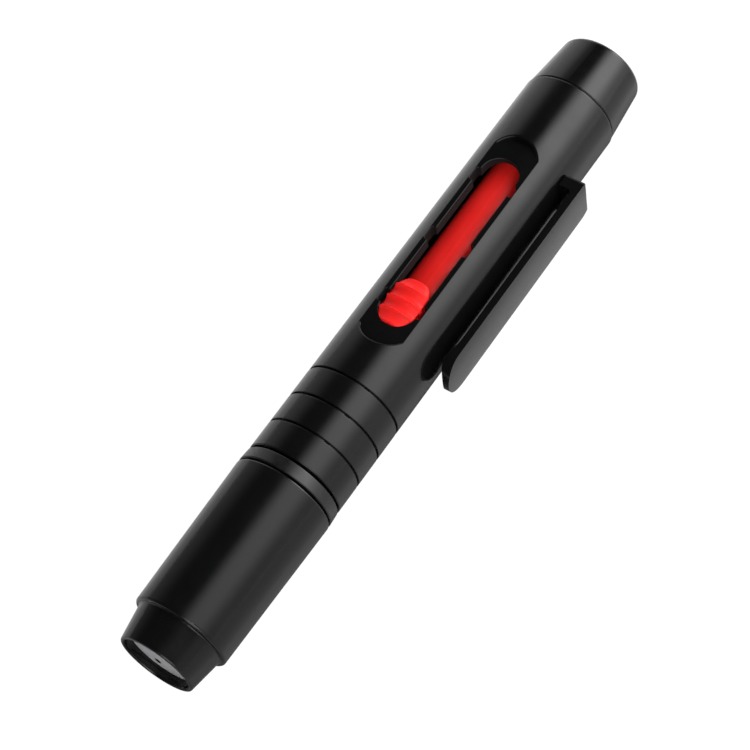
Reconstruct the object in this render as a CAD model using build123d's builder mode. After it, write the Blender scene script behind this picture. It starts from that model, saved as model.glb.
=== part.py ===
"""Lens cleaning pen: sliding dust brush at one end, capped polishing tip at the other.

Millimetres. The pen's axis lies along X, +X points at the brush nose and +Z at the
brush button. X = 0 is the seam between the cap and its collar ring. Z = 0 is the
table the cap's rim lies on, so the axis is one cap radius above it.
"""
import os

from build123d import *

os.makedirs("parts", exist_ok=True)

# ---- driving dimensions ----
CAP_R = 7.98            # widest radius, at the cap's mouth
AXIS_H = CAP_R          # height of the pen's axis above the table
BARREL_R = 7.8
BORE_R = 5.78           # barrel bore that guides the brush carriage
BARREL_X0 = 2.58
BARREL_X1 = 76.8
NOSE_X1 = 86.45
GROOVES_X = (7.36, 12.36, 17.33)
GROOVE_W = 0.36
GROOVE_D = 0.42

POCKET_X = 44.4         # middle of the flat-bottomed pocket around the brush slot
POCKET_L = 40.6
POCKET_W = 7.85
POCKET_R = 6.78         # height of the pocket's floor above the axis
SLOT_X = 44.3
SLOT_L = 33.0
SLOT_W = 6.0
NOTCHES_X = (31.8, 44.1, 56.3)
NOTCH_L = 2.4
NOTCH_W = 7.45

CAP_X0 = -30.63         # open end of the cap's stub
SHOULDER_X = -25.1
CAP_BORE_R = 6.6
STUB_BORE_R = 5.37
SPIGOT_R = 6.5          # tip holder, under the cap and inside the barrel

CARRIAGE_R = 4.4
CARRIAGE_BORE_R = 3.6
CARRIAGE_X0 = 22.0
CARRIAGE_X1 = 64.8
GUIDE_R = 5.65          # collar and rails that centre the carriage in the bore
GUIDE_X1 = 61.2
BUTTON_X = 32.05
BUTTON_L = 8.2
BUTTON_W = 5.76
BUTTON_TOP = 7.95       # crest of the button above the axis
RIB_PITCH = 2.15

CLIP_X0 = 26.25         # free end
CLIP_ROOT_X = 62.4      # where the flexing arm meets its root block
CLIP_X1 = 64.8
CLIP_W = 7.6
CLIP_IN = 9.5           # inner and outer faces of the arm, from the pen's axis
CLIP_OUT = 10.8

PAD_R = 5.9
PAD_SPHERE = 15.3       # curvature of the concave polishing pad
DOME_X = -21.9          # crest of the domed compound that fits the pad
VENT_YZ = (1.55, -3.3)  # middle of the plug's vent hole, from the pen's axis
VENT_R = 0.5

PEN = Axis((0, 0, AXIS_H), (1, 0, 0))
PROFILE = Plane(origin=(0, 0, AXIS_H), x_dir=(1, 0, 0), z_dir=(0, -1, 0))
ABOVE = Plane(origin=(0, 0, AXIS_H), x_dir=(1, 0, 0), z_dir=(0, 0, 1))
CLIP_SIDE = Plane(origin=(0, 0, AXIS_H), x_dir=(1, 0, 0), z_dir=(0, -1, 0))
SECTION = Plane(origin=(0, 0, AXIS_H), x_dir=(0, 1, 0), z_dir=(1, 0, 0))


def turned(points, mode=Mode.ADD):
    """Turn a closed profile of (x, radius) points about the pen's axis."""
    with BuildSketch(PROFILE) as outline:
        with BuildLine():
            Polyline(*points, close=True)
        make_face()
    revolve(outline.sketch, axis=PEN, mode=mode)


def sag(r):
    """Depth of the polishing pad's hollow at a radius."""
    return PAD_SPHERE - (PAD_SPHERE**2 - r**2) ** 0.5


def round_ring(part, x, r, radius):
    """Round the circular edge nearest to a given x and radius."""
    rings = part.edges().filter_by(GeomType.CIRCLE)
    ring = min(rings, key=lambda e: abs(e.arc_center.X - x) + abs(e.radius - r))
    fillet(ring, radius=radius)


def in_slot(edge):
    """Whether an edge lies inside the outline of the brush slot and its notches."""
    ends = edge.bounding_box()
    slot_x0 = SLOT_X - SLOT_L / 2 - 0.01
    slot_x1 = SLOT_X + SLOT_L / 2 + 0.01
    return ends.min.X > slot_x0 and ends.max.X < slot_x1 and ends.max.Y < 3.8 and ends.min.Y > -3.8


def save(part, name):
    """Label one piece and write its STEP file."""
    part.label = name
    export_step(part, "parts/" + name + ".step")


# ---- barrel: grooved tube with the slot pocket, the brush slot and the clip's socket ----
with BuildPart() as barrel:
    turned([
        (BARREL_X0, SPIGOT_R + 0.03), (BARREL_X0, BARREL_R), (BARREL_X1, BARREL_R),
        (BARREL_X1, 6.62), (70.8, 6.62), (70.8, BORE_R), (12.4, BORE_R),
        (12.4, SPIGOT_R + 0.03),
    ])
    round_ring(barrel, BARREL_X0, BARREL_R, 0.2)
    round_ring(barrel, BARREL_X1, BARREL_R, 0.35)
    for groove_x in GROOVES_X:
        turned([
            (groove_x - GROOVE_W / 2, BARREL_R - GROOVE_D), (groove_x - GROOVE_W / 2, 9),
            (groove_x + GROOVE_W / 2, 9), (groove_x + GROOVE_W / 2, BARREL_R - GROOVE_D),
        ], mode=Mode.SUBTRACT)
    with BuildSketch(ABOVE.offset(POCKET_R)):
        with Locations((POCKET_X, 0)):
            SlotOverall(POCKET_L, POCKET_W)
    extrude(amount=3, mode=Mode.SUBTRACT)
    with BuildSketch(ABOVE.offset(3)):
        with Locations((SLOT_X, 0)):
            SlotOverall(SLOT_L, SLOT_W)
        with Locations(*[(x, 0) for x in NOTCHES_X]):
            RectangleRounded(NOTCH_L, NOTCH_W, 0.4)
    extrude(amount=5, mode=Mode.SUBTRACT)
    floor_edges = barrel.edges().filter_by_position(Axis.Z, AXIS_H + POCKET_R, AXIS_H + POCKET_R)
    fillet([e for e in floor_edges if in_slot(e)], radius=0.12)
    rims = barrel.edges().filter_by(GeomType.BSPLINE).filter_by_position(
        Axis.Z, AXIS_H + POCKET_R, AXIS_H + BARREL_R)
    fillet([e for e in rims if e.bounding_box().max.Z > AXIS_H + 7], radius=0.25)
    grooves = barrel.edges().filter_by(GeomType.CIRCLE).filter_by_position(Axis.X, 7, 18)
    fillet([e for e in grooves if abs(e.radius - BARREL_R) < 0.01], radius=0.1)
    with BuildSketch(CLIP_SIDE.offset(6.55)):
        with Locations(((CLIP_ROOT_X + CLIP_X1) / 2, 0)):
            Rectangle(2.0, 5.0)
    extrude(amount=2, mode=Mode.SUBTRACT)
save(barrel.part, "barrel")

# ---- nose cone: pressed into the barrel's brush end, lets the brush out ----
with BuildPart() as nose_cone:
    turned([
        (70.9, 5.82), (70.9, 6.6), (BARREL_X1 + 0.05, 6.6), (BARREL_X1 + 0.05, 7.66),
        (NOSE_X1, 6.75), (NOSE_X1, 5.1), (NOSE_X1 - 0.45, 5.1), (NOSE_X1 - 0.45, 5.82),
    ])
    round_ring(nose_cone, NOSE_X1, 6.75, 0.9)
    round_ring(nose_cone, BARREL_X1 + 0.05, 7.66, 0.22)
save(nose_cone.part, "nose_cone")

# ---- clip root: the end block of the pocket clip, its foot set in the barrel ----
with BuildPart() as clip_root:
    with BuildSketch(CLIP_SIDE.offset(6.4)):
        with Locations(((CLIP_ROOT_X + CLIP_X1) / 2, 0)):
            Rectangle(CLIP_X1 - CLIP_ROOT_X, CLIP_W - 0.3)
    extrude(amount=CLIP_OUT - 6.4)
    fillet(clip_root.edges().filter_by(Axis.Y).group_by(Axis.X)[-1], radius=1.1)
    fillet(clip_root.edges().group_by(Axis.Y)[0].sort_by(Axis.X)[-1], radius=1.0)
    turned([(60, 0), (60, BARREL_R + 0.02), (67, BARREL_R + 0.02), (67, 0)], mode=Mode.SUBTRACT)
    with BuildSketch(CLIP_SIDE.offset(6.6)):
        with Locations(((CLIP_ROOT_X + CLIP_X1) / 2, 0)):
            Rectangle(1.96, 4.96)
    extrude(amount=2.4)
save(clip_root.part, "clip_root")

# ---- clip arm: crowned springy blade with a round free end and a gripping bead ----
with BuildPart() as clip_arm:
    with BuildSketch(CLIP_SIDE.offset(CLIP_IN)):
        with BuildLine():
            Line((CLIP_X0 + CLIP_W / 2, CLIP_W / 2), (CLIP_ROOT_X - 0.03, CLIP_W / 2 - 0.15))
            Line((CLIP_ROOT_X - 0.03, CLIP_W / 2 - 0.15), (CLIP_ROOT_X - 0.03, 0.15 - CLIP_W / 2))
            Line((CLIP_ROOT_X - 0.03, 0.15 - CLIP_W / 2), (CLIP_X0 + CLIP_W / 2, -CLIP_W / 2))
            ThreePointArc((CLIP_X0 + CLIP_W / 2, -CLIP_W / 2), (CLIP_X0, 0),
                          (CLIP_X0 + CLIP_W / 2, CLIP_W / 2))
        make_face()
    extrude(amount=CLIP_OUT - CLIP_IN)
    fillet(clip_arm.faces().sort_by(Axis.Y)[0].edges().sort_by(Axis.X)[:-1], radius=0.35)
    with BuildSketch(ABOVE.offset(-2.6)):
        with Locations((29.3, -CLIP_IN)):
            Ellipse(1.9, 0.95)
    extrude(amount=5.2)
save(clip_arm.part, "clip_arm")

# ---- collar ring: loose on the tip holder between barrel and cap, turns with the cap ----
with BuildPart() as collar_ring:
    turned([(0.15, 6.6), (0.15, 7.96), (2.18, 7.82), (2.18, 6.6)])
    round_ring(collar_ring, 0.15, 7.96, 0.18)
    round_ring(collar_ring, 2.18, 7.82, 0.2)
save(collar_ring.part, "collar_ring")

# ---- cap shell: tapered sleeve stepping down to a short open stub ----
with BuildPart() as cap_shell:
    turned([
        (-0.15, CAP_BORE_R), (-0.15, CAP_R), (SHOULDER_X, 7.58), (SHOULDER_X, 6.85),
        (CAP_X0, 6.03), (CAP_X0, STUB_BORE_R), (-24.6, STUB_BORE_R), (-24.6, CAP_BORE_R),
    ])
    round_ring(cap_shell, -0.15, CAP_R, 0.3)
    round_ring(cap_shell, SHOULDER_X, 7.58, 0.45)
    round_ring(cap_shell, SHOULDER_X, 6.85, 0.2)
    round_ring(cap_shell, CAP_X0, 6.03, 0.28)
    round_ring(cap_shell, CAP_X0, STUB_BORE_R, 0.28)
save(cap_shell.part, "cap_shell")

# ---- cap end plug: light cup that closes the stub, with a vent hole near its lower edge ----
with BuildPart() as cap_end_plug:
    turned([
        (-29.15, 0), (-29.15, 5.35), (-26.4, 5.35), (-26.4, 4.65), (-28.4, 4.65), (-28.4, 0),
    ])
    with BuildSketch(SECTION.offset(-30)):
        with Locations(VENT_YZ):
            Circle(VENT_R)
    extrude(amount=2, mode=Mode.SUBTRACT)
save(cap_end_plug.part, "cap_end_plug")

# ---- compound cup: flanged holder for the polishing compound ----
with BuildPart() as compound_cup:
    turned([
        (-28.3, 0), (-28.3, 4.6), (-24.58, 4.6), (-24.58, 6.5), (-23.9, 6.5),
        (-23.9, 4.1), (-27.6, 4.1), (-27.6, 0),
    ])
save(compound_cup.part, "compound_cup")

# ---- compound pad: carbon-loaded felt with a domed face that the tip presses on ----
with BuildPart() as compound_pad:
    with BuildSketch(PROFILE):
        with BuildLine():
            Polyline((DOME_X, 0), (-27.55, 0), (-27.55, 4.05), (-23.85, 4.05), (-23.85, 5.7),
                     (DOME_X - sag(5.7), 5.7))
            ThreePointArc((DOME_X - sag(5.7), 5.7), (DOME_X - sag(2.85), 2.85), (DOME_X, 0))
        make_face()
    revolve(axis=PEN)
save(compound_pad.part, "compound_pad")


def dished(front, back, r):
    """A disc between two equally curved hollow faces whose middles are at front and back."""
    with BuildSketch(PROFILE) as outline:
        with BuildLine():
            Line((front, 0), (back, 0))
            ThreePointArc((back, 0), (back - sag(r / 2), r / 2), (back - sag(r), r))
            Line((back - sag(r), r), (front - sag(r), r))
            ThreePointArc((front - sag(r), r), (front - sag(r / 2), r / 2), (front, 0))
        make_face()
    revolve(outline.sketch, axis=PEN)


# ---- polishing tip: chamois and foam on a rubber head and stem ----
with BuildPart() as pad_chamois:
    dished(-21.75, -21.2, PAD_R)
save(pad_chamois.part, "pad_chamois")

with BuildPart() as pad_foam:
    dished(-21.18, -19.8, PAD_R - 0.1)
save(pad_foam.part, "pad_foam")

with BuildPart() as tip_head:
    dished(-19.78, -18.0, 5.6)
    turned([(-19.0, 0), (-19.0, 5.2), (-17.1, 3.0), (-16.2, 2.7), (-16.2, 0)])
    turned([(-18.4, 0), (-18.4, 1.92), (-16, 1.92), (-16, 0)], mode=Mode.SUBTRACT)
save(tip_head.part, "tip_head")

with BuildPart() as tip_stem:
    turned([
        (-18.35, 0), (-18.35, 1.9), (-13.2, 1.9), (-12.4, 1.55), (-11.2, 1.55), (-10.4, 1.9),
        (-3.1, 1.9), (-3.1, 0),
    ])
save(tip_stem.part, "tip_stem")

# ---- tip holder: hollow plug pressed in the barrel, its spigot carries the cap ----
with BuildPart() as tip_holder:
    turned([
        (-8.2, 1.92), (-8.2, SPIGOT_R), (-4.9, SPIGOT_R), (-4.9, 5.5), (-3.8, 5.5),
        (-3.8, SPIGOT_R), (12.3, SPIGOT_R), (12.3, 4.9), (-6.4, 4.9), (-6.4, 3.2),
        (-2.6, 3.2), (-2.6, 0), (-3.05, 0), (-3.05, 1.92),
    ])
    round_ring(tip_holder, -8.2, SPIGOT_R, 0.6)
save(tip_holder.part, "tip_holder")

# ---- friction ring: rubber ring in the spigot's groove that holds the cap on ----
with BuildPart() as friction_ring:
    with BuildSketch(PROFILE):
        with Locations((-4.35, 6.03)):
            Circle(0.5)
    revolve(axis=PEN)
save(friction_ring.part, "friction_ring")

# ---- brush carriage: long tube with a guide collar, two lower rails and a window for the button ----
with BuildPart() as brush_carriage:
    turned([
        (CARRIAGE_X0, CARRIAGE_BORE_R), (CARRIAGE_X0, GUIDE_R), (24.0, GUIDE_R), (24.0, CARRIAGE_R),
        (CARRIAGE_X1, CARRIAGE_R), (CARRIAGE_X1, CARRIAGE_BORE_R),
    ])
    with BuildSketch(SECTION.offset(23.5)):
        with PolarLocations((GUIDE_R + 4.2) / 2, 2, start_angle=-150, angular_range=240):
            Rectangle(GUIDE_R - 4.2, 1.2)
    extrude(amount=GUIDE_X1 - 23.5)
    with BuildSketch(ABOVE.offset(1.9)):
        with Locations((BUTTON_X, 0)):
            SlotOverall(BUTTON_L + 0.4, BUTTON_W + 0.24)
    extrude(amount=4, mode=Mode.SUBTRACT)
save(brush_carriage.part, "brush_carriage")

# ---- slider button: ribbed thumb piece with end flanges that keep it in the window ----
with BuildPart() as slider_button:
    with BuildSketch(ABOVE.offset(2)):
        with Locations((BUTTON_X, 0)):
            SlotOverall(BUTTON_L, BUTTON_W)
    extrude(amount=BUTTON_TOP - 2)
    with BuildSketch(SECTION.offset(BUTTON_X - BUTTON_L)):
        with BuildLine():
            Polyline((BUTTON_W / 2 + 0.1, 6.85), (BUTTON_W / 2 + 0.1, 1.5), (-BUTTON_W / 2 - 0.1, 1.5),
                     (-BUTTON_W / 2 - 0.1, 6.85))
            ThreePointArc((-BUTTON_W / 2 - 0.1, 6.85), (0, BUTTON_TOP), (BUTTON_W / 2 + 0.1, 6.85))
        make_face()
    extrude(amount=2 * BUTTON_L, mode=Mode.INTERSECT)
    with BuildSketch(CLIP_SIDE.offset(-4)):
        with Locations(*[(BUTTON_X + (i - 1.5) * RIB_PITCH, BUTTON_TOP + 0.5) for i in range(4)]):
            Circle(0.95)
    extrude(amount=8, mode=Mode.SUBTRACT)
    with BuildSketch(ABOVE.offset(2)):
        with Locations((BUTTON_X, 0)):
            Rectangle(BUTTON_L + 2.6, 4.0)
    extrude(amount=0.8)
save(slider_button.part, "slider_button")

# ---- button spring: bowed leaf inside the carriage, under the button ----
with BuildPart() as button_spring:
    with BuildSketch(CLIP_SIDE.offset(-1.6)):
        with BuildLine():
            RadiusArc((BUTTON_X - 6.4, 0.7), (BUTTON_X + 6.4, 0.7), -18.0, short_sagitta=True)
            Line((BUTTON_X + 6.4, 0.7), (BUTTON_X + 6.4, 0.45))
            RadiusArc((BUTTON_X + 6.4, 0.45), (BUTTON_X - 6.4, 0.45), 18.0, short_sagitta=True)
            Line((BUTTON_X - 6.4, 0.45), (BUTTON_X - 6.4, 0.7))
        make_face()
    extrude(amount=3.2)
    with BuildSketch(ABOVE.offset(0.45)):
        with Locations((BUTTON_X - 6.9, 0), (BUTTON_X + 6.9, 0)):
            Rectangle(1.2, 6.8)
    extrude(amount=0.25)
save(button_spring.part, "button_spring")

# ---- brush: ferrule crimped over the carriage's front end, plug in the tube, bristles in front ----
with BuildPart() as brush_ferrule:
    turned([
        (62.3, 4.43), (62.3, 4.87), (65.6, 4.87), (65.9, 4.7), (66.2, 4.87), (67.2, 4.87),
        (67.5, 4.6), (67.5, 4.43),
    ])
save(brush_ferrule.part, "brush_ferrule")

with BuildPart() as brush_plug:
    turned([(60.0, 0), (60.0, 2.4), (61.0, 2.4), (61.0, 3.55), (64.75, 3.55), (64.75, 0)])
save(brush_plug.part, "brush_plug")

with BuildPart() as brush_bristles:
    with BuildSketch(PROFILE):
        with BuildLine():
            Line((64.9, 0), (64.9, 4.35))
            Line((64.9, 4.35), (67.5, 4.35))
            Spline((67.5, 4.35), (74.0, 4.75), (80.0, 4.6), (84.0, 3.3), (85.2, 0),
                   tangents=((1, 0.08), (0, -1)))
            Line((85.2, 0), (64.9, 0))
        make_face()
    revolve(axis=PEN)
save(brush_bristles.part, "brush_bristles")
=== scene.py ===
"""Lens cleaning pen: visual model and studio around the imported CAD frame. Metres throughout."""
import math
import random

import bmesh
import bpy
import numpy as np
from mathutils import Matrix, Vector


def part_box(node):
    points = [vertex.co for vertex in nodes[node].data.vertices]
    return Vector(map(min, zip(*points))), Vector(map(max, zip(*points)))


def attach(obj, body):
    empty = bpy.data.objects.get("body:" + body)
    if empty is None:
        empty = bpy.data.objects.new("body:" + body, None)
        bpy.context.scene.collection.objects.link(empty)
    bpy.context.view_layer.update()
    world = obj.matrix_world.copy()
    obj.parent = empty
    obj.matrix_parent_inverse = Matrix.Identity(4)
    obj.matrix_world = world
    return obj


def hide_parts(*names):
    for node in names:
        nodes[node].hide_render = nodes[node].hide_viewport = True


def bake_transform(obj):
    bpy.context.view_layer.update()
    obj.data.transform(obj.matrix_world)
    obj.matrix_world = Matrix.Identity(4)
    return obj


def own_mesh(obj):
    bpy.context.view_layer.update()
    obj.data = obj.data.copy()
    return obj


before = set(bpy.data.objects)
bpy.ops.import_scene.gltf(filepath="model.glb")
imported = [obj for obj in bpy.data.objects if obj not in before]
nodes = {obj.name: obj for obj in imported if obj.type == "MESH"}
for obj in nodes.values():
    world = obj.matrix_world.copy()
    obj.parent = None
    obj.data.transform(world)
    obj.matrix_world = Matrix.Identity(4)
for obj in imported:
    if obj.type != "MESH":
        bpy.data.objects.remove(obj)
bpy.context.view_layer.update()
MM = 0.001
AXIS_MM = 7.98                   # the pen's axis above the table, for material coordinates


# ---------------------------------------------------------------- materials
class Look:
    """A Principled material whose colour, roughness and bump are built from noise in millimetres."""

    def __init__(self, name, color, rough, metallic=0.0, ior=1.5, sheen=0.0, specular=0.5, subsurface=0.0):
        self.mat = bpy.data.materials.new(name)
        self.mat.use_nodes = True
        self.tree = self.mat.node_tree
        self.bsdf = self.tree.nodes["Principled BSDF"]
        self.bsdf.inputs["Base Color"].default_value = (*color, 1)
        self.bsdf.inputs["Roughness"].default_value = rough
        self.bsdf.inputs["Metallic"].default_value = metallic
        self.bsdf.inputs["IOR"].default_value = ior
        self.bsdf.inputs["Sheen Weight"].default_value = sheen
        self.bsdf.inputs["Specular IOR Level"].default_value = specular
        self.bsdf.inputs["Subsurface Weight"].default_value = subsurface
        self.bsdf.inputs["Subsurface Radius"].default_value = (0.0012, 0.0004, 0.0003)
        self.bsdf.inputs["Subsurface Scale"].default_value = 1.0
        coords = self.node("ShaderNodeTexCoord")
        self.coords = self.node("ShaderNodeMapping")
        self.coords.inputs["Scale"].default_value = (1000, 1000, 1000)
        self.link(coords.outputs["Object"], self.coords.inputs["Vector"])
        self.normal = None

    def node(self, kind, **settings):
        made = self.tree.nodes.new(kind)
        for key, value in settings.items():
            setattr(made, key, value)
        return made

    def link(self, a, b):
        self.tree.links.new(a, b)

    def stretched(self, scale):
        """Millimetre coordinates scaled unevenly, for brushed or drawn marks."""
        mapping = self.node("ShaderNodeMapping")
        mapping.inputs["Scale"].default_value = scale
        self.link(self.coords.outputs["Vector"], mapping.inputs["Vector"])
        return mapping.outputs["Vector"]

    def noise(self, scale, detail=3.0, rough=0.55, vector=None):
        made = self.node("ShaderNodeTexNoise")
        made.inputs["Scale"].default_value = scale
        made.inputs["Detail"].default_value = detail
        made.inputs["Roughness"].default_value = rough
        self.link(vector or self.coords.outputs["Vector"], made.inputs["Vector"])
        return made.outputs["Fac"]

    def voronoi(self, scale, feature="F1"):
        made = self.node("ShaderNodeTexVoronoi", feature=feature)
        made.inputs["Scale"].default_value = scale
        self.link(self.coords.outputs["Vector"], made.inputs["Vector"])
        return made.outputs["Distance"]

    def ramp(self, value, low, high, out_low=0.0, out_high=1.0):
        made = self.node("ShaderNodeMapRange")
        made.inputs["From Min"].default_value = low
        made.inputs["From Max"].default_value = high
        made.inputs["To Min"].default_value = out_low
        made.inputs["To Max"].default_value = out_high
        self.link(value, made.inputs["Value"])
        return made.outputs["Result"]

    def add(self, a, b, operation="ADD"):
        made = self.node("ShaderNodeMath", operation=operation)
        self.link(a, made.inputs[0])
        self.link(b, made.inputs[1])
        return made.outputs[0]

    def absolute(self, value, middle):
        """How far a coordinate is from a middle value, either way."""
        shifted = self.node("ShaderNodeMath", operation="SUBTRACT")
        self.link(value, shifted.inputs[0])
        shifted.inputs[1].default_value = middle
        made = self.node("ShaderNodeMath", operation="ABSOLUTE")
        self.link(shifted.outputs[0], made.inputs[0])
        return made.outputs[0]

    def roughness(self, value, low, high):
        self.link(self.ramp(value, 0.35, 0.65, low, high), self.bsdf.inputs["Roughness"])

    def colours(self, value, dark, light):
        made = self.node("ShaderNodeMix", data_type="RGBA")
        self.link(value, made.inputs[0])
        made.inputs[6].default_value = (*dark, 1)
        made.inputs[7].default_value = (*light, 1)
        self.link(made.outputs[2], self.bsdf.inputs["Base Color"])

    def bump(self, value, depth_mm, strength=1.0):
        """Adds one layer of relief; layers chain."""
        made = self.node("ShaderNodeBump")
        made.inputs["Strength"].default_value = strength
        made.inputs["Distance"].default_value = depth_mm * MM
        self.link(value, made.inputs["Height"])
        if self.normal:
            self.link(self.normal, made.inputs["Normal"])
        self.normal = made.outputs["Normal"]
        self.link(self.normal, self.bsdf.inputs["Normal"])


def scratches(look, depth_mm):
    """A few fine handling marks: thin bright lines of noise stretched along and across the pen."""
    for scale, turn in (((0.05, 1.3, 1.3), 0.35), ((0.9, 0.06, 0.4), -0.5)):
        mapping = look.node("ShaderNodeMapping")
        mapping.inputs["Rotation"].default_value = (turn, turn * 0.6, turn)
        mapping.inputs["Scale"].default_value = scale
        look.link(look.coords.outputs["Vector"], mapping.inputs["Vector"])
        lines = look.noise(6.0, 1.0, 0.4, mapping.outputs["Vector"])
        look.bump(look.ramp(lines, 0.66, 0.70), depth_mm, 0.5)


def gloss_black(name, slotted=False):
    look = Look(name, (0.0024, 0.0025, 0.0026), 0.17, ior=1.48, specular=0.25)
    polish = look.ramp(look.noise(0.22, 3.0), 0.35, 0.65, 0.135, 0.215)
    if slotted:                      # the moulded walls inside the slot and the bore are unpolished
        place = look.node("ShaderNodeSeparateXYZ")
        look.link(look.coords.outputs["Vector"], place.inputs[0])
        beside = look.absolute(place.outputs["Y"], 0.0)
        above = look.absolute(place.outputs["Z"], AXIS_MM)
        between = look.ramp(beside, 3.82, 3.9, 0.8, 0.0)          # ends at the pocket's half width
        under = look.ramp(above, 6.66, 6.72, 1.0, 0.0)            # ends just under the pocket's floor
        dull = look.add(between, under, "MULTIPLY")
        polish = look.add(polish, dull, "MAXIMUM")
    look.link(polish, look.bsdf.inputs["Roughness"])
    look.colours(look.noise(0.6, 4.0), (0.0019, 0.0020, 0.0021), (0.0030, 0.0031, 0.0032))
    look.bump(look.noise(0.35, 2.0), 0.012, 0.5)
    look.bump(look.noise(14.0, 3.0), 0.0012, 0.5)
    scratches(look, 0.0012)
    return look.mat


def satin_black(name, rough, specular):
    look = Look(name, (0.005, 0.005, 0.0054), rough, ior=1.48, specular=specular)
    look.roughness(look.noise(0.5, 3.0), rough - 0.05, rough + 0.06)
    look.colours(look.noise(1.0, 4.0), (0.0036, 0.0036, 0.0039), (0.0062, 0.0063, 0.0066))
    look.bump(look.noise(9.0, 4.0), 0.006, 0.6)
    look.bump(look.voronoi(22.0), 0.002, 0.4)
    return look.mat


def red_plastic(name, dark, light, rough, drawn):
    look = Look(name, light, rough, ior=1.49, specular=0.12, subsurface=0.12)
    look.roughness(look.noise(0.7, 3.0), rough - 0.05, rough + 0.06)
    look.colours(look.ramp(look.noise(0.2, 2.0), 0.2, 0.8), dark, light)
    if drawn:                        # drawn tube with a parting line along its top
        look.bump(look.noise(3.0, 2.0, 0.5, look.stretched((0.05, 1.0, 1.0))), 0.006, 0.4)
        place = look.node("ShaderNodeSeparateXYZ")
        look.link(look.coords.outputs["Vector"], place.inputs[0])
        off = look.absolute(place.outputs["Y"], 0.0)
        look.bump(look.ramp(off, 0.05, 0.45, 1.0, 0.0), 0.035, 1.0)
    look.bump(look.noise(12.0, 3.0), 0.0025, 0.5)
    return look.mat


def grey_plastic():
    vent_y, vent_z, vent_edge = 1.55, AXIS_MM - 3.3, 0.52
    look = Look("plug_grey", (0.29, 0.29, 0.3), 0.42)
    look.roughness(look.noise(0.8, 3.0), 0.36, 0.5)
    place = look.node("ShaderNodeSeparateXYZ")
    look.link(look.coords.outputs["Vector"], place.inputs[0])
    reach = look.node("ShaderNodeVectorMath", operation="LENGTH")
    offset = look.node("ShaderNodeCombineXYZ")
    look.link(look.absolute(place.outputs["Y"], vent_y), offset.inputs["Y"])
    look.link(look.absolute(place.outputs["Z"], vent_z), offset.inputs["Z"])
    look.link(offset.outputs[0], reach.inputs[0])
    tone = look.ramp(look.noise(0.7, 5.0), 0.3, 0.7, 0.76, 1.0)
    painted_vent_shade = look.ramp(reach.outputs["Value"], vent_edge, 0.62)   # painted shade: dark inside the vent hole
    look.colours(look.add(tone, painted_vent_shade, "MULTIPLY"), (0.004, 0.004, 0.004), (0.33, 0.33, 0.34))
    look.bump(look.noise(8.0, 4.0), 0.005, 0.6)
    return look.mat


def rubber():
    look = Look("rubber_black", (0.018, 0.018, 0.019), 0.6, ior=1.45)
    look.roughness(look.noise(1.2, 4.0), 0.52, 0.7)
    look.colours(look.noise(1.5, 5.0), (0.012, 0.012, 0.013), (0.028, 0.028, 0.029))
    look.bump(look.noise(10.0, 5.0), 0.012, 0.6)
    return look.mat


def foam():
    look = Look("foam_grey", (0.1, 0.1, 0.105), 0.9, sheen=0.1)
    cells = look.voronoi(5.0)
    look.colours(look.ramp(cells, 0.1, 0.6), (0.045, 0.045, 0.048), (0.15, 0.15, 0.155))
    look.bump(cells, 0.12, 0.9)
    look.bump(look.noise(16.0, 3.0), 0.02, 0.6)
    look.roughness(look.noise(4.0), 0.85, 0.95)
    return look.mat


def chamois():
    look = Look("chamois_dark", (0.05, 0.046, 0.043), 0.85, sheen=0.35)
    nap = look.noise(7.0, 6.0, 0.7)
    look.colours(look.ramp(nap, 0.35, 0.65), (0.03, 0.028, 0.027), (0.085, 0.078, 0.072))
    look.bump(nap, 0.04, 0.8)
    look.bump(look.noise(2.0, 4.0), 0.05, 0.5)
    look.roughness(look.noise(3.0), 0.78, 0.95)
    return look.mat


def carbon_felt():
    look = Look("carbon_felt", (0.012, 0.012, 0.013), 0.8, sheen=0.12)
    fibres = look.noise(5.0, 6.0, 0.75, look.stretched((1.0, 2.4, 0.7)))
    look.colours(look.ramp(fibres, 0.3, 0.7), (0.006, 0.006, 0.0065), (0.03, 0.03, 0.032))
    look.bump(fibres, 0.06, 0.9)
    look.bump(look.voronoi(9.0), 0.02, 0.6)
    look.roughness(look.noise(3.0), 0.62, 0.9)
    return look.mat


def metal(name, color, rough, lines):
    look = Look(name, color, rough, metallic=1.0)
    grain = look.noise(9.0, 3.0, 0.6, look.stretched(lines))
    look.roughness(grain, rough - 0.08, rough + 0.12)
    dark, light = tuple(0.9 * c for c in color), tuple(min(1, 1.05 * c) for c in color)
    look.colours(look.noise(0.8, 4.0), dark, light)
    look.bump(grain, 0.004, 0.5)
    return look.mat


def hair():
    look = Look("brush_hair", (0.5, 0.4, 0.27), 0.5, sheen=0.1)
    strands = look.node("ShaderNodeAttribute", attribute_name="tone")
    look.colours(strands.outputs["Fac"], (0.34, 0.26, 0.17), (0.72, 0.62, 0.47))
    look.bump(look.noise(20.0, 2.0), 0.003, 0.4)
    look.roughness(look.noise(4.0), 0.42, 0.6)
    return look.mat


BLACK = gloss_black("moulded_black_gloss")
BARREL_BLACK = gloss_black("barrel_black_gloss", slotted=True)
COLLAR = satin_black("collar_satin_black", 0.3, 0.33)
INNER = satin_black("holder_satin_black", 0.42, 0.29)
RED_TUBE = red_plastic("carriage_red", (0.61, 0.013, 0.011), (0.67, 0.017, 0.014), 0.36, True)
RED_BUTTON = red_plastic("button_red", (0.68, 0.014, 0.013), (0.75, 0.019, 0.017), 0.4, False)
GREY = grey_plastic()
RUBBER = rubber()
FOAM = foam()
CHAMOIS = chamois()
FELT = carbon_felt()
FERRULE = metal("ferrule_aluminium", (0.78, 0.78, 0.79), 0.28, (3.0, 0.15, 0.15))
STEEL = metal("spring_strip", (0.6, 0.6, 0.61), 0.25, (0.1, 3.0, 3.0))
HAIR = hair()

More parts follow.
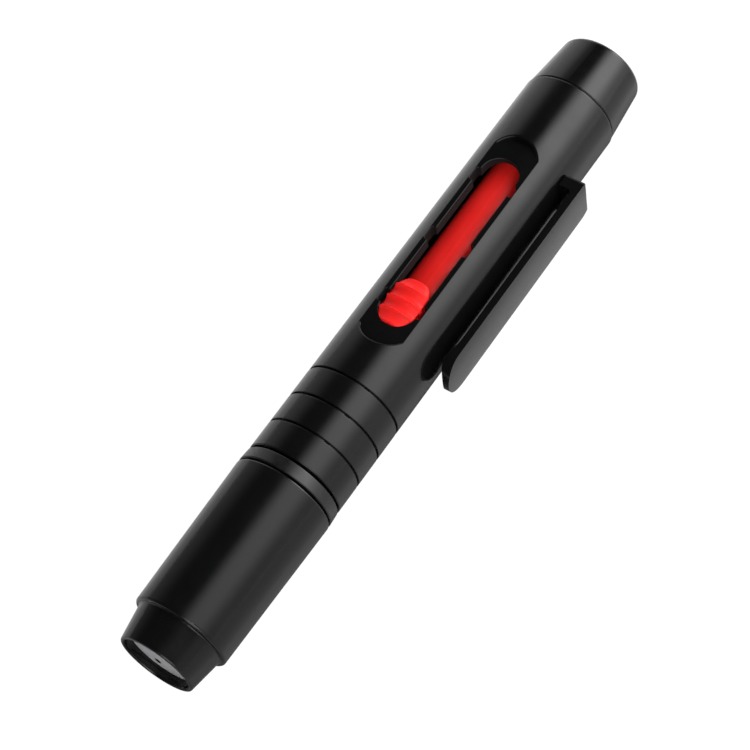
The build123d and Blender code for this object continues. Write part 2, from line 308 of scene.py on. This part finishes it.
for node_name, material in {
    "barrel": BARREL_BLACK, "nose_cone": BLACK, "cap_shell": BLACK, "collar_ring": COLLAR,
    "cap_end_plug": GREY, "compound_cup": INNER, "tip_holder": INNER, "friction_ring": RUBBER,
    "tip_stem": RUBBER, "tip_head": RUBBER, "brush_carriage": RED_TUBE, "brush_ferrule": FERRULE,
    "brush_plug": RED_TUBE,
}.items():
    for material_slot in nodes[node_name].material_slots:
        material_slot.material = material


# ---------------------------------------------------------------- mesh helpers
def new_piece(name, mesh, material, body, slot_name, *replaced):
    """Links a finished mesh as a smooth piece that rides on a body and stands for CAD nodes."""
    piece = bpy.data.objects.new(name, mesh)
    bpy.context.scene.collection.objects.link(piece)
    mesh.materials.clear()
    mesh.materials.append(material)
    for face in mesh.polygons:
        face.use_smooth = True
    if body:
        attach(piece, body)
    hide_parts(*replaced)
    return piece


def mesh_from(name, verts, faces):
    mesh = bpy.data.meshes.new(name)
    mesh.from_pydata([tuple(v) for v in verts], [], faces)
    tidy = bmesh.new()
    tidy.from_mesh(mesh)
    bmesh.ops.recalc_face_normals(tidy, faces=tidy.faces)
    tidy.to_mesh(mesh)
    tidy.free()
    return mesh


def applied(mesh, *modifiers):
    """Runs modifiers on a mesh and gives the resulting mesh."""
    carrier = bpy.data.objects.new("carrier", mesh)
    bpy.context.scene.collection.objects.link(carrier)
    for kind, settings in modifiers:
        made = carrier.modifiers.new(kind, kind)
        for key, value in settings.items():
            setattr(made, key, value)
    graph = bpy.context.evaluated_depsgraph_get()
    result = bpy.data.meshes.new_from_object(carrier.evaluated_get(graph))
    bpy.data.objects.remove(carrier)
    return result


def prism(name, outline, lift, low, high):
    """Extrudes a closed outline between two levels; lift maps (a, b, level) to a point."""
    count = len(outline)
    verts = [lift(a, b, low) for a, b in outline] + [lift(a, b, high) for a, b in outline]
    faces = [list(range(count)), list(range(2 * count - 1, count - 1, -1))]
    faces += [[i, (i + 1) % count, count + (i + 1) % count, count + i] for i in range(count)]
    return mesh_from(name, verts, faces)


low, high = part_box("tip_stem")
AXIS = (low.z + high.z) / 2      # height of the pen's axis


# ---------------------------------------------------------------- clip: one moulding, turning down into its root
arm_low, arm_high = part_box("clip_arm")
root_low, root_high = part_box("clip_root")
clip_x0 = arm_low.x
clip_x1 = root_high.x
root_x = root_low.x
half_w = (arm_high.z - arm_low.z) / 2
outer = -arm_low.y + 0.12 * MM
inner = -arm_low.y - 1.3 * MM
barrel_r = 7.8 * MM


def clip_mesh():
    """Side profile, plan and crowned section, each extruded, then intersected and edge-rounded."""
    steps = np.linspace(clip_x0 - MM, clip_x1 - 1.1 * MM, 42)
    side = [(x, outer + 0.05 * MM) for x in steps]
    side += [(clip_x1 - 1.1 * MM * (1 - math.sin(a)), outer + 0.05 * MM - 1.1 * MM * (1 - math.cos(a)))
             for a in np.linspace(0, math.pi / 2, 9)[1:]]
    side += [(clip_x1, barrel_r - 0.5 * MM), (root_x, barrel_r - 0.5 * MM)]
    fillet_r = 0.7 * MM
    side += [(root_x - fillet_r * (1 - math.cos(a)), inner - fillet_r + fillet_r * math.sin(a))
             for a in np.linspace(0, math.pi / 2, 6)]
    bead_x, bead_half, bead_h = clip_x0 + 2.6 * MM, 3.2 * MM, 0.6 * MM
    for x in np.linspace(root_x - 1.5 * MM, clip_x0 - MM, 52):
        t = (x - bead_x) / bead_half
        bead = bead_h * (0.5 + 0.5 * math.cos(math.pi * t)) if abs(t) < 1 else 0
        thin = 0.5 * MM * max(0, 1 - (x - clip_x0) / (1.6 * MM)) ** 2
        side.append((x, inner - bead + min(thin, 0.6 * MM)))
    side_mesh = prism("clip_side", side, lambda a, b, l: (a, -b, AXIS + l), -6 * MM, 6 * MM)
    end_w = half_w - 0.15 * MM
    upper, lower = 0.8 * MM, 2.0 * MM
    turns = np.linspace(0, math.pi / 2, 8)
    plan = [(clip_x1 - upper * (1 - math.sin(a)), end_w - upper * (1 - math.cos(a))) for a in turns]
    plan += [(clip_x1 - lower * (1 - math.cos(a)), lower * (1 - math.sin(a)) - end_w) for a in turns]
    plan += [(clip_x0 + half_w - half_w * math.sin(a), -half_w * math.cos(a))
             for a in np.linspace(0, math.pi, 40)]
    plan_mesh = prism("clip_plan", plan, lambda a, b, l: (a, -l, AXIS + b), 5 * MM, 14 * MM)
    crown = 0.3 * MM
    arc = [(b * half_w * 1.2, outer - crown * (1.2 * b) ** 2) for b in np.linspace(-1, 1, 25)]
    section = arc + [(1.2 * half_w, 4 * MM), (-1.2 * half_w, 4 * MM)]
    crown_mesh = prism("clip_crown", section, lambda a, b, l: (l, -b, AXIS + a), clip_x0 - 5 * MM,
                       clip_x1 + 5 * MM)
    cutters = []
    for mesh in (plan_mesh, crown_mesh):
        cutter = bpy.data.objects.new("cutter", mesh)
        bpy.context.scene.collection.objects.link(cutter)
        cutters.append(cutter)
    shape = applied(side_mesh, *[("BOOLEAN", {"operation": "INTERSECT", "solver": "EXACT", "object": c})
                                 for c in cutters])
    for cutter in cutters:
        bpy.data.objects.remove(cutter)
    return applied(shape, ("BEVEL", {"width": 0.36 * MM, "segments": 4, "limit_method": "ANGLE",
                                     "angle_limit": math.radians(38)}))


clip = new_piece("pocket_clip", clip_mesh(), BLACK, None, "black_gloss", "clip_arm", "clip_root")
clip.modifiers.new("normals", "WEIGHTED_NORMAL").keep_sharp = False
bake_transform(clip)


# ---------------------------------------------------------------- slider button
btn_low, btn_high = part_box("slider_button")
btn_x = (btn_low.x + btn_high.x) / 2
btn_half_l = 4.1 * MM
btn_half_w = 2.88 * MM
btn_top = btn_high.z


def button_mesh():
    """A rounded plan carried up in rings to a crowned top with sharp cross ribs between scallops."""
    across, around = 56, 144
    verts, faces = [], []
    pitch = 2.15 * MM
    bowl = 1.13 * MM

    def outline(angle, scale):
        c, s = math.cos(angle), math.sin(angle)
        power = 3.5
        r = (abs(c / btn_half_l) ** power + abs(s / btn_half_w) ** power) ** (-1 / power)
        return c * r * scale, s * r * scale

    def top_z(dx, dy, scale):
        crown = btn_top - 0.8 * MM * (dy / btn_half_w) ** 2
        from_crest = abs((dx / pitch + 0.5) % 1.0 - 0.5) * pitch
        if abs(dx) > 1.5 * pitch:
            from_crest = 0.5 * pitch - 0.75 * (abs(dx) - 1.5 * pitch)
        reach = 0.5 * pitch - from_crest
        scallop = math.sqrt(bowl**2 - min(reach, 0.5 * pitch) ** 2)
        scallop = 1.1 * (scallop - math.sqrt(bowl**2 - (0.5 * pitch) ** 2))
        end_drop = 0.15 * MM * max(0, (abs(dx) - 3.0 * MM) / (1.1 * MM)) ** 1.5
        rim = 0.35 * MM * max(0, (scale - 0.93) / 0.07) ** 2
        return crown - scallop - end_drop - rim

    scales = [0.0] + [(i / across) ** 0.85 for i in range(1, across + 1)]
    verts.append((btn_x, 0, top_z(0, 0, 0)))
    for scale in scales[1:]:
        for k in range(around):
            dx, dy = outline(2 * math.pi * k / around, scale)
            verts.append((btn_x + dx, dy, top_z(dx, dy, scale)))
    for level in (AXIS + 6.4 * MM, AXIS + 5.0 * MM, btn_low.z + 0.02 * MM):
        for k in range(around):
            dx, dy = outline(2 * math.pi * k / around, 1.0)
            verts.append((btn_x + dx, dy, level))
    for k in range(around):
        faces.append([0, 1 + k, 1 + (k + 1) % around])
    rings = len(scales) - 1 + 3
    for ring in range(rings - 1):
        base, nxt = 1 + ring * around, 1 + (ring + 1) * around
        for k in range(around):
            k2 = (k + 1) % around
            faces.append([base + k, nxt + k, nxt + k2, base + k2])
    faces.append([1 + (rings - 1) * around + k for k in range(around)])
    return mesh_from("slider_button", verts, faces)


new_piece("ribbed_button", button_mesh(), RED_BUTTON, "button", "red_button", "slider_button")


# ---------------------------------------------------------------- button spring: bowed strip
spr_low, spr_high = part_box("button_spring")


def spring_mesh():
    """A bowed leaf with rolled feet, closed all round."""
    thick = 0.22 * MM
    span = 14.6 * MM
    rows = []
    for u in np.linspace(-1, 1, 61):
        rise = (spr_high.z - spr_low.z - thick) * math.cos(u * math.pi / 2) ** 1.4
        half = (1.5 + 1.6 * abs(u) ** 3) * MM
        rows.append((btn_x + u * span / 2, half, spr_low.z + rise))
    verts, faces = [], []
    for x, half, z in rows:
        verts += [(x, -half, z), (x, half, z), (x, half, z + thick), (x, -half, z + thick)]
    for i in range(len(rows) - 1):
        a, b = 4 * i, 4 * i + 4
        faces += [[a + j, a + (j + 1) % 4, b + (j + 1) % 4, b + j] for j in range(4)]
    last = 4 * (len(rows) - 1)
    faces += [[0, 1, 2, 3], [last + 3, last + 2, last + 1, last]]
    shape = mesh_from("spring", verts, faces)
    return applied(shape, ("BEVEL", {"width": 0.06 * MM, "segments": 2, "limit_method": "ANGLE"}))


spring = new_piece("button_leaf_spring", spring_mesh(), STEEL, "slider", "spring_steel", "button_spring")
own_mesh(spring)


# ---------------------------------------------------------------- soft discs of the polishing tip
SPHERE = 15.3 * MM               # the concave pad and the dome it fits share this curve


def lathed(name, verts, around):
    """Joins rings of points, listed one after another along a profile, into one welded mesh."""
    faces = []
    for j in range(len(verts) // around - 1):
        for k in range(around):
            a, b = j * around + k, j * around + (k + 1) % around
            faces.append([a, b, b + around, a + around])
    mesh = mesh_from(name, verts, faces)
    weld = bmesh.new()
    weld.from_mesh(mesh)
    bmesh.ops.remove_doubles(weld, verts=weld.verts, dist=1e-6)
    weld.to_mesh(mesh)
    weld.free()
    return mesh


def dish(name, x_front, x_back, radius, seed, fuzz):
    """A soft disc about the pen's axis: two parallel bowed faces and a rounded, slightly uneven rim."""
    rings, around = 44, 120
    rng = np.random.default_rng(seed)
    waves = [(rng.integers(2, 9), rng.uniform(0, 6.28), rng.uniform(0.2, 1)) for _ in range(6)]

    def sag(r):
        return SPHERE - math.sqrt(SPHERE * SPHERE - r * r)

    def lump(angle):
        return sum(w * math.sin(n * angle + p) for n, p, w in waves) / 6

    half_t = abs(x_back - x_front) / 2
    profile = []
    for r in np.linspace(0, radius - 0.75 * half_t, rings):
        profile.append((x_front - sag(r), r, 1))
    for a in np.linspace(0, math.pi, 13)[1:-1]:
        r = radius - 0.75 * half_t + 0.75 * half_t * math.sin(a)
        mid = (x_front + x_back) / 2 - sag(min(r, radius))
        profile.append((mid - (x_back - x_front) / 2 * math.cos(a), r, 0.6))
    for r in np.linspace(radius - 0.75 * half_t, 0, 14):
        profile.append((x_back - sag(r), r, 0))
    verts = []
    for j, (x, r, soft) in enumerate(profile):
        for k in range(around):
            angle = 2 * math.pi * k / around
            rr = r * (1 - 0.006 * (1 + lump(angle)) * (r / radius) ** 3)
            jitter = fuzz * soft * rng.uniform(-1, 1) if 0 < j < len(profile) - 1 else 0
            verts.append((x + jitter, rr * math.cos(angle), AXIS + rr * math.sin(angle)))
    return lathed(name, verts, around)


chamois_mesh = dish("chamois", -21.75 * MM, -21.2 * MM, 5.88 * MM, 3, 0.012 * MM)
chamois_face = new_piece("chamois_face", chamois_mesh, CHAMOIS, "barrel", "chamois", "pad_chamois")
foam_mesh = dish("foam", -21.16 * MM, -19.82 * MM, 5.76 * MM, 5, 0.02 * MM)
foam_backing = new_piece("foam_backing", foam_mesh, FOAM, "barrel", "grey_foam", "pad_foam")
felt_low, felt_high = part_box("compound_pad")


def felt_mesh():
    """The domed compound pad: a mushroom of felt with a fibrous face."""
    rng = np.random.default_rng(11)
    profile = [(felt_high.x - (SPHERE - math.sqrt(SPHERE**2 - r * r)), r)
               for r in np.linspace(0, 5.3 * MM, 40)]
    edge_x, edge_r = profile[-1]
    for a in np.linspace(0, math.pi, 11)[1:]:
        profile.append((edge_x - 0.36 * MM * (1 - math.cos(a)), edge_r + 0.36 * MM * math.sin(a)))
    profile += [(profile[-1][0], 4.05 * MM), (felt_low.x + 0.2 * MM, 4.02 * MM), (felt_low.x, 3.8 * MM),
                (felt_low.x, 0)]
    around = 110
    verts = []
    for j, (x, r) in enumerate(profile):
        for k in range(around):
            angle = 2 * math.pi * k / around
            jitter = 0.02 * MM * rng.uniform(-1, 0) if 0 < j < 48 else 0
            verts.append((x + jitter, r * math.cos(angle), AXIS + r * math.sin(angle)))
    return lathed("felt", verts, around)


compound_felt = new_piece("compound_felt", felt_mesh(), FELT, "cap", "carbon_felt", "compound_pad")


# ---------------------------------------------------------------- bristles
bri_low, bri_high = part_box("brush_bristles")


def bristle_mesh():
    """About two thousand tapered hairs, tight at the ferrule, gently spread, tips on a dome."""
    rng = random.Random(7)
    verts, faces, tones = [], [], []
    root_x0 = bri_low.x + 0.5 * MM
    tip_x = bri_high.x - 0.15 * MM
    root_r, belly_r = 4.25 * MM, 4.7 * MM
    count, sides, steps = 2100, 3, 9
    golden = math.pi * (3 - math.sqrt(5))
    for i in range(count):
        share = math.sqrt((i + 0.5) / count)
        angle = i * golden + rng.uniform(-0.05, 0.05)
        clump = 0.06 * math.sin(5 * angle + 9 * share) + rng.uniform(-0.02, 0.02)
        end_r = belly_r * share * (0.9 + clump)
        domed = (1 - math.sqrt(max(0, 1 - (share * 0.86) ** 2))) * 9.0 * MM
        reach = tip_x - domed - abs(rng.gauss(0, 0.35)) * MM
        drift = rng.uniform(-0.1, 0.1)
        tone = min(1, max(0, rng.gauss(0.5, 0.22)))
        path = []
        for j in range(steps + 1):
            t = j / steps
            x = root_x0 + (reach - root_x0) * t
            swell = math.sin(math.pi * min(1, t * 1.15)) * 0.35 * MM * share
            r = root_r * share * (1 - t) + end_r * t + swell * (1 - 0.5 * t)
            r = min(r, belly_r * 0.99)
            a = angle + drift * t * t
            path.append(Vector((x, r * math.cos(a), AXIS + r * math.sin(a))))
        base = len(verts)
        for j, point in enumerate(path):
            t = j / steps
            thick = 0.045 * MM * (1 - 0.75 * t * t)
            for k in range(sides):
                b = 2 * math.pi * k / sides + angle
                verts.append(point + Vector((0, thick * math.cos(b), thick * math.sin(b))))
                tones.append(tone * (0.75 + 0.25 * t))
        for j in range(steps):
            for k in range(sides):
                a0 = base + j * sides + k
                a1 = base + j * sides + (k + 1) % sides
                faces.append([a0, a1, a1 + sides, a0 + sides])
        faces.append([base + k for k in range(sides)][::-1])
        faces.append([base + steps * sides + k for k in range(sides)])
    mesh = bpy.data.meshes.new("bristles")
    mesh.from_pydata([tuple(v) for v in verts], [], faces)
    layer = mesh.attributes.new("tone", "FLOAT", "POINT")
    layer.data.foreach_set("value", tones)
    return mesh


new_piece("brush_hair", bristle_mesh(), HAIR, "slider", "bristle", "brush_bristles")


# ---------------------------------------------------------------- floor
def floor_material():
    """A matt board with a painted shadow, dark grey close to the pen and pale further out, and painted
    light that brightens it along the pen towards the nose, for light and reflections.

    What camera rays see of it is mostly an even white glow, so the pen casts no visible shadow.
    """
    pen_middle, pen_half = 28.0, 58.0
    look = Look("studio_floor", (0.62, 0.62, 0.62), 0.7, specular=0.2)
    place = look.node("ShaderNodeSeparateXYZ")
    look.link(look.coords.outputs["Vector"], place.inputs[0])
    past = place.outputs["X"]
    for operation, number in (("SUBTRACT", pen_middle), ("ABSOLUTE", 0.0), ("SUBTRACT", pen_half),
                              ("MAXIMUM", 0.0)):
        step = look.node("ShaderNodeMath", operation=operation)
        look.link(past, step.inputs[0])
        step.inputs[1].default_value = number
        past = step.outputs[0]
    around = look.node("ShaderNodeCombineXYZ")
    look.link(past, around.inputs["X"])
    look.link(place.outputs["Y"], around.inputs["Y"])
    away = look.node("ShaderNodeVectorMath", operation="LENGTH")
    look.link(around.outputs[0], away.inputs[0])
    # painted shadow: the board turns dark grey within about 7.5 to 15 mm of the pen
    painted_shadow_near_pen = look.ramp(away.outputs["Value"], 7.5, 15.0)
    # painted light: the board brightens along x towards the nose end
    painted_light_along_pen = look.ramp(place.outputs["X"], 0.0, 80.0, 0.64, 0.9)
    look.colours(look.add(painted_shadow_near_pen, painted_light_along_pen, "MULTIPLY"), (0.16, 0.16, 0.16), (0.95, 0.95, 0.95))
    glow = look.node("ShaderNodeEmission")
    glow.inputs["Strength"].default_value = 1.13
    mix = look.node("ShaderNodeMixShader")
    share = look.node("ShaderNodeMath", operation="MULTIPLY")
    share.inputs[1].default_value = 0.88
    look.link(look.node("ShaderNodeLightPath").outputs["Is Camera Ray"], share.inputs[0])
    look.link(share.outputs[0], mix.inputs[0])
    look.link(look.bsdf.outputs[0], mix.inputs[1])
    look.link(glow.outputs[0], mix.inputs[2])
    look.link(mix.outputs[0], look.tree.nodes["Material Output"].inputs["Surface"])
    return look.mat


floor_mesh = mesh_from("floor", [(-3, -3, 0), (3, -3, 0), (3, 3, 0), (-3, 3, 0)], [[0, 1, 2, 3]])
floor = bpy.data.objects.new("studio_floor", floor_mesh)
bpy.context.scene.collection.objects.link(floor)
floor_mesh.materials.append(floor_material())
floor.location.z = -0.02 * MM    # just under the cap's rim


# ---------------------------------------------------------------- light
# A painted world with no lamps. lean is the angle in degrees from straight up towards the clip's
# side, seen along the pen. Bands of lean stand for a long soft box, a front wall and a back wall.
# Their strengths grow towards the nose and were chosen for the streaks they make on the barrel.
world = bpy.data.worlds.new("studio")
bpy.context.scene.world = world
world.use_nodes = True
tree = world.node_tree


def wnode(kind, **settings):
    made = tree.nodes.new(kind)
    for key, value in settings.items():
        setattr(made, key, value)
    return made


def wmath(operation, a, b=None):
    made = wnode("ShaderNodeMath", operation=operation)
    for socket, value in zip(made.inputs, (a, b)):
        if value is None:
            continue
        if isinstance(value, (int, float)):
            socket.default_value = value
        else:
            tree.links.new(value, socket)
    return made.outputs[0]


def wrange(value, low_in, high_in, low_out, high_out):
    made = wnode("ShaderNodeMapRange", interpolation_type="SMOOTHSTEP")
    tree.links.new(value, made.inputs["Value"])
    made.inputs["From Min"].default_value = low_in
    made.inputs["From Max"].default_value = high_in
    made.inputs["To Min"].default_value = low_out
    made.inputs["To Max"].default_value = high_out
    return made.outputs["Result"]


direction = wnode("ShaderNodeSeparateXYZ")
tree.links.new(wnode("ShaderNodeTexCoord").outputs["Generated"], direction.inputs[0])
dx, dy, dz = direction.outputs
lean = wmath("MULTIPLY", wmath("ARCTAN2", wmath("MULTIPLY", dy, -1.0), dz), 180 / math.pi)
STEEPEST = 0.49                  # dx of what mirrors at the nose; the growth stops there
end_on = wmath("MINIMUM", wmath("MAXIMUM", dx, 0.0), STEEPEST)
growth = wmath("POWER", end_on, 3.0)


def lit(base, gain):
    return wmath("ADD", wmath("MULTIPLY", growth, gain), base)


box_light = wmath("MULTIPLY", wrange(lean, -2.0, 30.0, 0, 1), wrange(lean, 46.0, 78.0, 1, 0))
bowed = wmath("POWER", wmath("ABSOLUTE", wmath("MULTIPLY", wmath("SUBTRACT", lean, 37.0), 1 / 113)), 2.0)
box_end = wrange(wmath("SUBTRACT", dx, bowed), 0.085, 0.13, 0, 1)
far_box = wmath("MULTIPLY", wrange(dx, -0.35, -0.2, 2.4, 0.12), wmath("SUBTRACT", 1.0, box_end))
box_light = wmath("MULTIPLY", box_light, wmath("ADD", box_end, far_box))
front_wall = wrange(lean, 50.0, 75.0, 0, 1)
back_wall = wrange(wmath("SUBTRACT", lean, wmath("MULTIPLY", end_on, 45.0)), -85.0, -48.0, 1, 0)
level = wmath("ADD", wmath("MULTIPLY", box_light, lit(1.95, 47.0)), 0.05)
level = wmath("ADD", level, wmath("MULTIPLY", front_wall, lit(0.73, 13.2)))
level = wmath("ADD", level, wmath("MULTIPLY", back_wall, lit(0.25, 9.5)))
background = tree.nodes["Background"]
tree.links.new(level, background.inputs["Strength"])
background.inputs["Color"].default_value = (1, 1, 1, 1)

bpy.context.scene.view_settings.view_transform = "Standard"
bpy.context.scene.view_settings.exposure = 0.0


# ---------------------------------------------------------------- camera
tilt = math.radians(23.7)        # the camera looks this far round from straight above, on the clip's side
toward = Vector((0, -math.sin(tilt), math.cos(tilt)))
side = Vector((0, -math.cos(tilt), -math.sin(tilt)))
along = Vector((1, 0, 0))


def in_row(a, b, c):
    return a * along + b * toward + c * side


camera_data = bpy.data.cameras.new("camera")
camera = bpy.data.objects.new("camera", camera_data)
bpy.context.scene.collection.objects.link(camera)
camera_data.sensor_width = 36
camera_data.lens = 112.43
camera_data.clip_start = 0.01
camera_data.clip_end = 20
right = in_row(0.55674, 0.21979, 0.80108)
up = in_row(0.74512, 0.29416, -0.59856)
ahead = in_row(0.36720, -0.93014, 0)
spot = Vector((0, 0, AXIS)) + in_row(-102.03, 316.31, 0.28) * MM
turn = Matrix((right, up, -ahead)).transposed()
camera.matrix_world = Matrix.Translation(spot) @ turn.to_4x4()
bpy.context.scene.camera = camera
